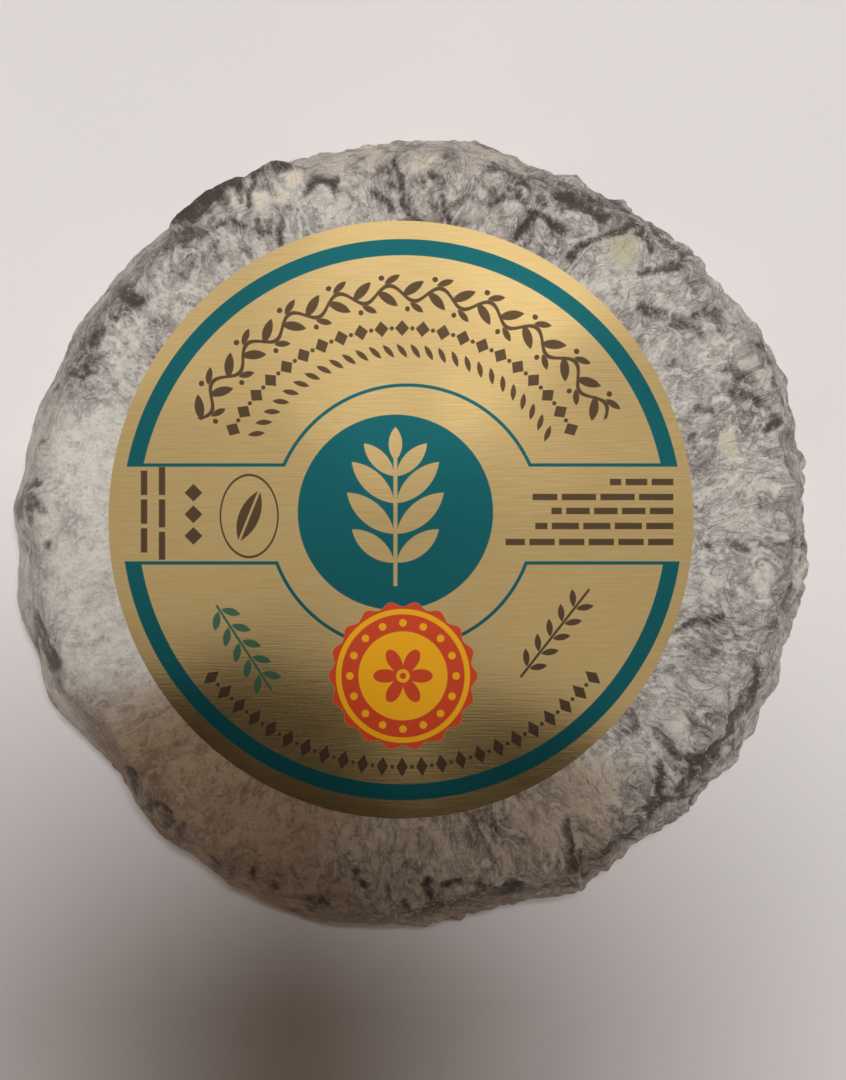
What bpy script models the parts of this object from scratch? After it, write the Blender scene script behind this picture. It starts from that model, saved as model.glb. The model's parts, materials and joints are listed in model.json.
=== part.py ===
"""A small ripened goat's cheese with an ash-grey rind, and the round paper label that lies on it.

The cheese is a low truncated cone with a bevelled upper edge. Its rind is wrinkled: folds fan out from
the middle towards a crinkled rim, one strip of rind has rolled off the rim, and the base is flat.
Units are metres, +Z is up, and the origin is on the floor under the middle of the cheese.
"""

import math

import bpy
from mathutils import Vector, noise

# The cheese's turned shape: radii from the axis, heights above the floor.
HEIGHT = 0.0240
RIM_RADIUS = 0.0402
RIM_RISE = 0.0004
SHOULDER_RADIUS = 0.0432
SHOULDER_HEIGHT = 0.0188
WIDEST_RADIUS = 0.0455
WIDEST_HEIGHT = 0.0044
FOOT_RADIUS = 0.0428

# How finely the turned shape is divided.
SEGMENTS = 200
INNER_RINGS = (0.0160, 0.0300)
FACE_START = 0.0314
FACE_STEPS = 7
BEVEL_STEPS = 5
SIDE_STEPS = 8
FOOT_STEPS = 3

# The outline's swellings and hollows: direction in degrees from +X, half width in degrees, depth.
SWELLINGS = (
    (25, 18, 0.00080),
    (66, 18, -0.00090),
    (99, 12, -0.00050),
    (176, 6, 0.00060),
    (191, 8, 0.00095),
    (204, 5, 0.00045),
    (218, 13, -0.00140),
    (236, 5, -0.00050),
    (252, 18, 0.00080),
    (283, 14, -0.00085),
    (307, 17, -0.00100),
    (342, 20, -0.00060),
)

# Folds of the rind. A fold's width is across it; along the profile it is longer by the stretch.
# The level is what a billow averages, so that folds rise and sink evenly about the turned shape.
BILLOW_GAIN = 1.8
FOLD_WIDTH = 0.0056
FOLD_STRETCH = 1.9
FOLD_HEIGHT = 0.0019
FOLD_LEVEL = 0.36
FOLD_WARP = 0.0034
FOLD_WARP_SIZE = 0.0100
SMALL_FOLD_WIDTH = 0.0034
SMALL_FOLD_SHARE = 0.35

# Crinkles of the rim, strongest a little below its crest, and broad lumps all over.
LOBE_WIDTH = 0.0052
LOBE_STRETCH = 2.6
LOBE_HEIGHT = 0.0014
LOBE_LEVEL = 0.32
LOBE_WARP = 0.0017
LOBE_CREST = 0.0437
LOBE_REACH = 0.0075
LUMP_SIZE = 0.0120
LUMP_HEIGHT = 0.0006

# Where in the noise each kind of relief is read, so that none repeats another.
FOLD_PLACE = Vector((0, 0, 11.3))
SMALL_FOLD_PLACE = Vector((5.1, 0, 2.9))
LOBE_PLACE = Vector((0, 3.3, 0))
LUMP_PLACE = Vector((3.1, 0, 9.2))
CRUMPLE_PLACE = Vector((0, 0, 8.8))
BED_PLACE = Vector((0, 0, 4.7))

# The relief dies away over the last of the side, so that the base stays flat.
FOOT_CLEAR = 0.0002
FOOT_FADE = 0.0048
TINY = 0.0001

# How strongly each stretch of the rind is folded and its rim crinkled: from, to and fade in degrees,
# then the two strengths.
STRETCHES = (
    (-72, 57, 10, 0.85, 1.00),
    (57, 80, 10, 0.60, 0.25),
    (110, 168, 10, 0.30, 0.20),
    (168, 214, 8, 0.12, 0.55),
    (236, 288, 12, 0.40, 0.50),
)
LEAST_FOLDED = 0.16
LEAST_CRINKLED = 0.15

# The strip of rind that has rolled off the rim, thick at one end and tapering to a tip at the other,
# and the bare groove that it has left behind it.
STRIP_FROM = 109
STRIP_TO = 127
STRIP_FADE = 2
STRIP_MIDDLE = 0.0432
STRIP_HALF_WIDTH = 0.0024
STRIP_TAPER = 0.45
STRIP_DRIFT = 0.0008
STRIP_OUT = 0.0019
STRIP_UP = 0.0016
CRUMPLE_DEGREES = 2.2
CRUMPLE_SIZE = 0.0040
CRUMPLE_SHARE = 0.35
GROOVE_BACK = 0.0010
GROOVE_HALF_WIDTH = 0.0016
GROOVE_DEPTH = 0.0009

# The label: an oval cut a little off the cheese's middle.
LABEL_CENTRE = (-0.0012, 0.0014)
LABEL_HALF_WIDTH = 0.03255
LABEL_HALF_LENGTH = 0.03325
LABEL_THICKNESS = 0.00020
LABEL_GAP = 0.00030
LABEL_SEGMENTS = 96
LABEL_RINGS = (0.25, 0.5, 0.75, 1.0)
BED_SIZE = 0.0220
BED_HEIGHT = 0.00035
BED_CLEAR = 0.0004
BED_FADE = 0.0026

ASH_GREY = (0.42, 0.40, 0.385, 1.0)
GOLD_PAPER = (0.62, 0.44, 0.18, 1.0)


def clear_scene():
    """Start from an empty scene."""
    for obj in list(bpy.data.objects):
        bpy.data.objects.remove(obj, do_unlink=True)


def smooth_step(low, high, value):
    """0 below low, 1 above high, and an S-curve between."""
    share = min(max((value - low) / (high - low), 0.0), 1.0)
    return share * share * (3 - 2 * share)


def hill(value, middle, half_width):
    """A raised cosine: 1 at its middle, 0 at its ends."""
    away = abs(value - middle) / half_width
    return 0.5 * (1 + math.cos(math.pi * away)) if away < 1 else 0.0


def turn_from(angle, centre):
    """The signed angle from centre to angle, in degrees within a half turn."""
    return (angle - centre + 180) % 360 - 180


def stretch(angle, start, end, fade):
    """1 within a stretch of the outline, fading to 0 past each end."""
    middle = (start + end) / 2
    away = abs(turn_from(angle, middle)) - (end - start) / 2
    return 1 - smooth_step(0, fade, away)


def bezier(start, control, end, steps):
    """Points of a quadratic curve after its start."""
    points = []
    for step in range(1, steps + 1):
        t = step / steps
        shares = ((1 - t) ** 2, 2 * t * (1 - t), t**2)
        points.append([sum(w * p[i] for w, p in zip(shares, (start, control, end))) for i in (0, 1)])
    return points


def cheese_profile():
    """(radius, height) points down the outer side of the turned shape, from the axis to the axis."""
    rim = (RIM_RADIUS, HEIGHT + RIM_RISE)
    shoulder = (SHOULDER_RADIUS, SHOULDER_HEIGHT)
    widest = (WIDEST_RADIUS, WIDEST_HEIGHT)
    points = [(0.0, HEIGHT)]
    points += [(radius, HEIGHT) for radius in INNER_RINGS]
    for step in range(FACE_STEPS):
        share = step / (FACE_STEPS - 1)
        radius = FACE_START + share * (RIM_RADIUS - FACE_START)
        points.append((radius, HEIGHT + RIM_RISE * share**2))
    points += bezier(rim, (SHOULDER_RADIUS - 0.0005, HEIGHT - 0.0004), shoulder, BEVEL_STEPS)
    points += bezier(shoulder, (WIDEST_RADIUS - 0.0002, 0.5 * HEIGHT), widest, SIDE_STEPS)
    points += bezier(widest, (WIDEST_RADIUS, 0.0), (FOOT_RADIUS, 0.0), FOOT_STEPS)
    points.append((0.0, 0.0))
    return points


def turned(name, profile, segments):
    """A mesh object turned about +Z from a profile."""
    mesh = bpy.data.meshes.new(name + "_profile")
    edges = [(i, i + 1) for i in range(len(profile) - 1)]
    mesh.from_pydata([(radius, 0, height) for radius, height in profile], edges, [])
    outline = bpy.data.objects.new(name + "_profile", mesh)
    bpy.context.scene.collection.objects.link(outline)
    screw = outline.modifiers.new("turn", "SCREW")
    screw.steps = screw.render_steps = segments
    screw.use_merge_vertices = True
    screw.merge_threshold = 0.00001
    graph = bpy.context.evaluated_depsgraph_get()
    solid = bpy.data.objects.new(name, bpy.data.meshes.new_from_object(outline.evaluated_get(graph)))
    solid.data.name = name
    bpy.data.objects.remove(outline, do_unlink=True)
    return solid


def label_share(x, y):
    """How far a point is from the label's middle, as a share of the way to its edge."""
    return math.hypot((x - LABEL_CENTRE[0]) / LABEL_HALF_WIDTH, (y - LABEL_CENTRE[1]) / LABEL_HALF_LENGTH)


def clear_of_label(x, y):
    """0 under the label and just past its edge, rising to 1 where the rind is free."""
    past = (label_share(x, y) - 1) * LABEL_HALF_WIDTH
    return smooth_step(BED_CLEAR, BED_CLEAR + BED_FADE, past)


def bed_height(x, y):
    """The slow waves of the top face, which the label follows."""
    return BED_HEIGHT * noise.noise(Vector((x, y, 0)) / BED_SIZE + BED_PLACE)


def strengths(angle):
    """How strongly the rind is folded and its rim crinkled in a direction."""
    folded, crinkled = LEAST_FOLDED, LEAST_CRINKLED
    for start, end, fade, fold, crinkle in STRETCHES:
        share = stretch(angle, start, end, fade)
        folded = max(folded, share * fold)
        crinkled = max(crinkled, share * crinkle)
    return folded, crinkled


def billow(point):
    """Rounded hills with narrow creases between them, from 0 in a crease to about 1."""
    return BILLOW_GAIN * abs(noise.noise(point))


def folds(outward, along):
    """Height of the folds that fan out over the top and run down the side."""
    place = outward * SHOULDER_RADIUS + Vector((0, 0, along))
    place += FOLD_WARP * noise.noise_vector(place / FOLD_WARP_SIZE)
    place.z /= FOLD_STRETCH
    large = billow(place / FOLD_WIDTH + FOLD_PLACE)
    small = billow(place / SMALL_FOLD_WIDTH + SMALL_FOLD_PLACE)
    return FOLD_HEIGHT * ((1 - SMALL_FOLD_SHARE) * large + SMALL_FOLD_SHARE * small - FOLD_LEVEL)


def lobes(outward, along):
    """The crinkles of the rim."""
    place = outward * SHOULDER_RADIUS + Vector((0, 0, along / LOBE_STRETCH))
    place += LOBE_WARP * noise.noise_vector(place / LOBE_WIDTH)
    near = math.exp(-(((along - LOBE_CREST) / LOBE_REACH) ** 2))
    return LOBE_HEIGHT * near * (billow(place / LOBE_WIDTH + LOBE_PLACE) - LOBE_LEVEL)


def strip_push(degrees, along, outward):
    """The rolled strip stands out and up from the rim, and behind it the rind is hollow."""
    length = stretch(degrees, STRIP_FROM, STRIP_TO, STRIP_FADE)
    if not length:
        return Vector((0, 0, 0))
    thin = smooth_step(STRIP_FROM, STRIP_TO, degrees)
    half_width = STRIP_HALF_WIDTH * (1 - STRIP_TAPER * thin)
    middle = STRIP_MIDDLE + STRIP_DRIFT * thin
    place = Vector((degrees / CRUMPLE_DEGREES, along / CRUMPLE_SIZE, 0)) + CRUMPLE_PLACE
    crumple = 1 + CRUMPLE_SHARE * noise.noise(place)
    roll = length * crumple * hill(along, middle, half_width)
    groove = length * hill(along, middle - half_width - GROOVE_BACK, GROOVE_HALF_WIDTH)
    return roll * STRIP_OUT * outward + Vector((0, 0, roll * STRIP_UP - groove * GROOVE_DEPTH))


def rind_point(point, normal):
    """Where a point of the turned shape lies on the real, uneven cheese."""
    radius = math.hypot(point.x, point.y)
    upper = point.z > HEIGHT / 2
    if radius < FACE_START - TINY:
        return point + Vector((0, 0, bed_height(point.x, point.y) if upper else 0))
    degrees = math.degrees(math.atan2(point.y, point.x))
    along = radius if point.z >= HEIGHT else RIM_RADIUS + (HEIGHT + RIM_RISE - point.z)
    outward = Vector((point.x, point.y, 0)) / radius
    swelling = sum(depth * hill(turn_from(degrees, centre), 0, width) for centre, width, depth in SWELLINGS)
    moved = point + outward * swelling * smooth_step(FACE_START, SHOULDER_RADIUS, radius)
    above_floor = smooth_step(FOOT_CLEAR, FOOT_CLEAR + FOOT_FADE, point.z)
    free = clear_of_label(moved.x, moved.y) if upper else above_floor
    folded, crinkled = strengths(degrees)
    lumps = LUMP_HEIGHT * noise.noise(point / LUMP_SIZE + LUMP_PLACE)
    relief = folded * folds(outward, along) + crinkled * lobes(outward, along) + lumps
    moved += normal * relief * free
    moved += strip_push(degrees, along, outward)
    moved.z += bed_height(moved.x, moved.y) * smooth_step(0.5 * HEIGHT, HEIGHT, point.z)
    return moved


def make_cheese():
    """The cheese with its rind: the turned shape, moved point by point."""
    cheese = turned("cheese", cheese_profile(), SEGMENTS)
    mesh = cheese.data
    places = [rind_point(vertex.co.copy(), vertex.normal.copy()) for vertex in mesh.vertices]
    for vertex, place in zip(mesh.vertices, places):
        on_floor = vertex.co.z < TINY
        vertex.co = place
        if on_floor:
            vertex.co.z = 0.0
    mesh.update()
    return cheese


def make_label():
    """The paper disc that lies on the top face, following its slow waves."""
    profile = [(0.0, LABEL_THICKNESS)] + [(share, LABEL_THICKNESS) for share in LABEL_RINGS]
    profile += [(share, 0.0) for share in reversed(LABEL_RINGS)] + [(0.0, 0.0)]
    label = turned("label", profile, LABEL_SEGMENTS)
    for vertex in label.data.vertices:
        x = LABEL_CENTRE[0] + LABEL_HALF_WIDTH * vertex.co.x
        y = LABEL_CENTRE[1] + LABEL_HALF_LENGTH * vertex.co.y
        z = HEIGHT + LABEL_GAP + vertex.co.z + bed_height(x, y)
        vertex.co = (x, y, z)
    label.data.update()
    return label


def material(name, colour, roughness, metallic):
    """A Principled BSDF with one colour."""
    made = bpy.data.materials.new(name)
    made.use_nodes = True
    surface = made.node_tree.nodes["Principled BSDF"]
    surface.inputs["Base Color"].default_value = colour
    surface.inputs["Roughness"].default_value = roughness
    surface.inputs["Metallic"].default_value = metallic
    return made


def centre_on_origin(parts):
    """Move all the parts together so that the whole stands with its box's middle over the origin."""
    points = [vertex.co for part in parts for vertex in part.data.vertices]
    shift_x = (max(p.x for p in points) + min(p.x for p in points)) / 2
    shift_y = (max(p.y for p in points) + min(p.y for p in points)) / 2
    for part in parts:
        for vertex in part.data.vertices:
            vertex.co -= Vector((shift_x, shift_y, 0))


def main():
    clear_scene()
    collection = bpy.data.collections.new("goat_cheese")
    bpy.context.scene.collection.children.link(collection)
    cheese = make_cheese()
    label = make_label()
    centre_on_origin([cheese, label])
    cheese.data.materials.append(material("rind", ASH_GREY, 0.9, 0.0))
    label.data.materials.append(material("gold_paper", GOLD_PAPER, 0.45, 0.3))
    for part in (cheese, label):
        part.data.shade_smooth()
        part.data.set_sharp_from_angle(angle=math.radians(50))
        collection.objects.link(part)


main()
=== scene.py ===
"""Looks for a small ripened goat's cheese with an ash-grey rind, and the gold paper label on it.

Lengths are in metres, or in millimetres where a comment says so. +Z is up.
"""

import json
import math

import bmesh
import bpy
import numpy as np
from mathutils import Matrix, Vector, noise

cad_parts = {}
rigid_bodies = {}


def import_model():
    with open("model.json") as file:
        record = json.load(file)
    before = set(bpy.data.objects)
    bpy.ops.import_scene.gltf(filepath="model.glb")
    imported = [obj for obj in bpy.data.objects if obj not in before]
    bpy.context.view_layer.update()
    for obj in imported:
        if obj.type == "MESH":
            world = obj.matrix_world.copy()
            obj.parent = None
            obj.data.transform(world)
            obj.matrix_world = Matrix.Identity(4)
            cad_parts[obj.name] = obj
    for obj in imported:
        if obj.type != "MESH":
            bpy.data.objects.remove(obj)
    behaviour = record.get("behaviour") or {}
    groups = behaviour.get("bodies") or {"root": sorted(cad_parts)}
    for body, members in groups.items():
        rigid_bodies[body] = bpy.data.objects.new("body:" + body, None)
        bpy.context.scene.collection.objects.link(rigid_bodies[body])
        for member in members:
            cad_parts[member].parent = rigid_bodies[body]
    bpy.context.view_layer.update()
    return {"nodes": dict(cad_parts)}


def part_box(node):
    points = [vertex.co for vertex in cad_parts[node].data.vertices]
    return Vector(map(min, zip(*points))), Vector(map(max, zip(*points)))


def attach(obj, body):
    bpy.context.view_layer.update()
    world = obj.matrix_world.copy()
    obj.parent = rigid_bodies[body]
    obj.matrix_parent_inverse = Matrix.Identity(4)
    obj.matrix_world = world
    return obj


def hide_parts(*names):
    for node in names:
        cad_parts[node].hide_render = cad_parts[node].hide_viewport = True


MM = 0.001

# The camera hangs straight above the cheese. Pixels are those of an 846 by 1080 image.
IMAGE_SIZE = (846, 1080)
PIXELS_PER_METRE = 9000
LABEL_AT = (400.8, 519.6)
CAMERA_RISE = 0.380
LENS = 114
SENSOR = 36
CLIP = (0.01, 20)

# The noise module draws its vectors' offsets from this seed.
NOISE_SEED = 11

# How the rind's mesh is refined before its own relief is added.
RIND_LEVELS = 2
LABEL_LEVELS = 3
MERGE = 0.00001
SHARP = math.radians(50)

# The turned shape under the relief, as the solid has it.
FACE_HEIGHT = 0.0240
RIM_RADIUS = 0.0402
RIM_ROUND = 0.0015
WRAP_RADIUS = 0.0432
LABEL_GAP = 0.0003

# The face under the label is raised by this share of the gap, fading out between two radii.
FACE_RAISE = 0.85
RAISE_FADE = (0.0340, 0.0400)

# Stretches of the rind by direction in degrees: from, to, fade, then how strongly it is wrinkled,
# how much ash shows on it and how buff it is; buff is a stain with painted shade. The borders wander by some
# degrees.
STRETCHES = (
    (-52, -20, 16, 1.00, 0.86, 0.0),
    (-20, 20, 16, 1.00, 0.66, 0.0),
    (20, 50, 16, 1.00, 0.56, 0.0),
    (50, 72, 16, 1.00, 1.00, 0.0),
    (72, 100, 12, 0.90, 0.95, 0.1),
    (100, 128, 10, 0.60, 0.64, 0.0),
    (128, 158, 12, 0.45, 0.95, 0.0),
    (158, 208, 20, 0.30, 0.40, 0.0),
    (214, 262, 26, 0.45, 0.50, 1.0),
    (262, 308, 22, 0.95, 0.80, 0.68),
)
WANDER = 9
WANDER_SIZE = 0.008


def srgb(red, green, blue):
    """The linear colour of a screen colour given in 0 to 255."""
    linear = []
    for value in (red, green, blue):
        share = value / 255
        linear.append(share / 12.92 if share <= 0.04045 else ((share + 0.055) / 1.055) ** 2.4)
    return (*linear, 1.0)


# Arrays of numbers


def smooth(low, high, value):
    """0 below low, 1 above high, and an S-curve between."""
    share = np.clip((value - low) / (high - low), 0, 1)
    return share * share * (3 - 2 * share)


def noise_at(points, size, place=(0, 0, 0)):
    """Gradient noise, about -1 to 1, with features of the given size."""
    spots = points / size + np.array(place)
    return np.array([noise.noise(Vector(spot)) for spot in spots])


def drift_at(points, size, place=(0, 0, 0)):
    """A smooth random direction at each point."""
    spots = points / size + np.array(place)
    return np.array([noise.noise_vector(Vector(spot)) for spot in spots])


def by_direction(degrees, column):
    """A strength from STRETCHES for each direction: 3 is wrinkles, 4 is ash, 5 is buff stain with painted
    shade.
    """
    total = np.zeros_like(degrees)
    weight = np.zeros_like(degrees)
    for row in STRETCHES:
        start, end, fade = row[:3]
        away = np.abs((degrees - (start + end) / 2 + 180) % 360 - 180) - (end - start) / 2
        near = 1 - smooth(-fade / 2, fade / 2, away)
        total += near * row[column]
        weight += near
    return total / weight


def stroke_distance(spots, line):
    """How far each flat spot is from a broken line, in the line's own unit."""
    nearest = np.full(len(spots), np.inf)
    for start, end in zip(line[:-1], line[1:]):
        start, run = np.array(start), np.array(end) - np.array(start)
        share = np.clip(((spots - start) @ run) / max(run @ run, 1e-9), 0, 1)
        nearest = np.minimum(nearest, np.linalg.norm(spots - start - share[:, None] * run, axis=1))
    return nearest


# Meshes


def refined(node, name, levels):
    """A finely divided copy of a CAD node, with its sharp edges kept."""
    mesh = bpy.data.meshes.new(name)
    work = bmesh.new()
    work.from_mesh(node.data)
    bmesh.ops.remove_doubles(work, verts=work.verts, dist=MERGE)
    bmesh.ops.join_triangles(
        work, faces=work.faces, angle_face_threshold=SHARP, angle_shape_threshold=math.pi
    )
    crease = work.edges.layers.float.new("crease_edge")
    for edge in work.edges:
        if len(edge.link_faces) == 2 and edge.calc_face_angle() > SHARP:
            edge[crease] = 1.0
    work.to_mesh(mesh)
    work.free()
    mesh.attributes.remove(mesh.attributes["custom_normal"])
    coarse = bpy.data.objects.new(name, mesh)
    bpy.context.scene.collection.objects.link(coarse)
    divide = coarse.modifiers.new("divide", "SUBSURF")
    divide.levels = divide.render_levels = levels
    divide.boundary_smooth = "PRESERVE_CORNERS"
    graph = bpy.context.evaluated_depsgraph_get()
    fine = bpy.data.meshes.new_from_object(coarse.evaluated_get(graph))
    bpy.data.objects.remove(coarse, do_unlink=True)
    bpy.data.meshes.remove(mesh)
    fine.name = name
    piece = bpy.data.objects.new(name, fine)
    bpy.context.scene.collection.objects.link(piece)
    fine.materials.clear()
    return piece


def read(mesh, what):
    """Every vertex's co or normal as rows of three."""
    values = np.zeros(len(mesh.vertices) * 3)
    mesh.vertices.foreach_get(what, values)
    return values.reshape(-1, 3)


def write(mesh, points):
    """Move every vertex."""
    mesh.vertices.foreach_set("co", points.ravel())
    mesh.update()


def note(mesh, name, values):
    """Keep a number at every vertex, for the material."""
    mesh.attributes.new(name, "FLOAT", "POINT").data.foreach_set("value", values.astype(np.float32))


def note_places(mesh, name, rows):
    """Keep a place at every vertex, for the material."""
    places = mesh.attributes.new(name, "FLOAT_VECTOR", "POINT")
    places.data.foreach_set("vector", rows.astype(np.float32).ravel())


# Shader nodes


class Field:
    """A number that varies over a surface: one output of a shader node."""

    def __init__(self, tree, socket):
        self.tree = tree
        self.socket = socket

    def math(self, operation, *others):
        node = self.tree.nodes.new("ShaderNodeMath")
        node.operation = operation
        for index, value in enumerate((self, *others)):
            if isinstance(value, Field):
                self.tree.links.new(value.socket, node.inputs[index])
            else:
                node.inputs[index].default_value = value
        return Field(self.tree, node.outputs[0])

    def __add__(self, other):
        return self.math("ADD", other)

    def __sub__(self, other):
        return self.math("SUBTRACT", other)

    def __mul__(self, other):
        return self.math("MULTIPLY", other)

    def __truediv__(self, other):
        return self.math("DIVIDE", other)

    def least(self, other):
        return self.math("MINIMUM", other)

    def most(self, other):
        return self.math("MAXIMUM", other)

    def size(self):
        return self.math("ABSOLUTE")

    def wrap(self, period):
        """The place within a repeat, measured from its middle."""
        return (self + period / 2).math("FLOORED_MODULO", period) - period / 2

    def over(self, other):
        """The length of (self, other)."""
        return (self * self + other * other).math("SQRT")

    def fill(self, soft):
        """1 where a signed distance is negative, 0 where it is positive."""
        made = self.math("MULTIPLY_ADD", -1 / soft, 0.5)
        made.socket.node.use_clamp = True
        return made

    def ramp(self, low, high):
        """0 at low, 1 at high."""
        made = self.math("MULTIPLY_ADD", 1 / (high - low), -low / (high - low))
        made.socket.node.use_clamp = True
        return made


class Paint:
    """A material in the making."""

    def __init__(self, name):
        self.material = bpy.data.materials.new(name)
        self.material.use_nodes = True
        self.tree = self.material.node_tree
        self.surface = self.tree.nodes["Principled BSDF"]
        place = self.tree.nodes.new("ShaderNodeTexCoord").outputs["Object"]
        self.place = self.scaled(place, (1 / MM, 1 / MM, 1 / MM))

    def scaled(self, vector, shares):
        node = self.tree.nodes.new("ShaderNodeVectorMath")
        node.operation = "MULTIPLY"
        self.tree.links.new(vector, node.inputs[0])
        node.inputs[1].default_value = shares
        return node.outputs[0]

    def parts(self, vector):
        node = self.tree.nodes.new("ShaderNodeSeparateXYZ")
        self.tree.links.new(vector, node.inputs[0])
        return [Field(self.tree, socket) for socket in node.outputs]

    def noise(self, vector, scale, detail=2.0, roughness=0.5, swirl=0.0):
        """Noise from 0 to 1; scale is features per unit of the vector."""
        node = self.tree.nodes.new("ShaderNodeTexNoise")
        self.tree.links.new(vector, node.inputs["Vector"])
        node.inputs["Scale"].default_value = scale
        node.inputs["Detail"].default_value = detail
        node.inputs["Roughness"].default_value = roughness
        node.inputs["Distortion"].default_value = swirl
        return Field(self.tree, node.outputs[0])

    def attribute(self, name):
        node = self.tree.nodes.new("ShaderNodeAttribute")
        node.attribute_name = name
        return Field(self.tree, node.outputs["Fac"])

    def noted_place(self, name):
        node = self.tree.nodes.new("ShaderNodeAttribute")
        node.attribute_name = name
        return node.outputs["Vector"]

    def mix(self, share, first, second, blend="MIX"):
        """A colour that goes from first to second as share goes from 0 to 1."""
        node = self.tree.nodes.new("ShaderNodeMix")
        node.data_type = "RGBA"
        node.blend_type = blend
        for index, value in ((0, share), (6, first), (7, second)):
            if isinstance(value, Field):
                self.tree.links.new(value.socket, node.inputs[index])
            elif isinstance(value, bpy.types.NodeSocket):
                self.tree.links.new(value, node.inputs[index])
            else:
                node.inputs[index].default_value = value
        return node.outputs[2]

    def bump(self, height, distance):
        """Relief too fine for the mesh: height is 0 to 1, distance is what 1 stands for."""
        node = self.tree.nodes.new("ShaderNodeBump")
        node.inputs["Strength"].default_value = 1.0
        node.inputs["Distance"].default_value = distance
        self.tree.links.new(height.socket, node.inputs["Height"])
        return node.outputs[0]

    def set(self, name, value):
        socket = self.surface.inputs[name]
        if isinstance(value, Field):
            self.tree.links.new(value.socket, socket)
        elif isinstance(value, bpy.types.NodeSocket):
            self.tree.links.new(value, socket)
        else:
            socket.default_value = value


# The rind

# Wrinkles too fine for the solid: width, height, how much longer than wide, warp.
WRINKLES = (
    (0.0027, 0.00055, 1.5, 0.0022, (7.7, 0, 1.3)),
    (0.0014, 0.00024, 1.3, 0.0009, (0, 9.1, 4.2)),
    (0.0008, 0.00010, 1.0, 0.0003, (2.2, 5.5, 0)),
)
WRINKLE_GAIN = 1.8
WRINKLE_LEVEL = 0.38
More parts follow.
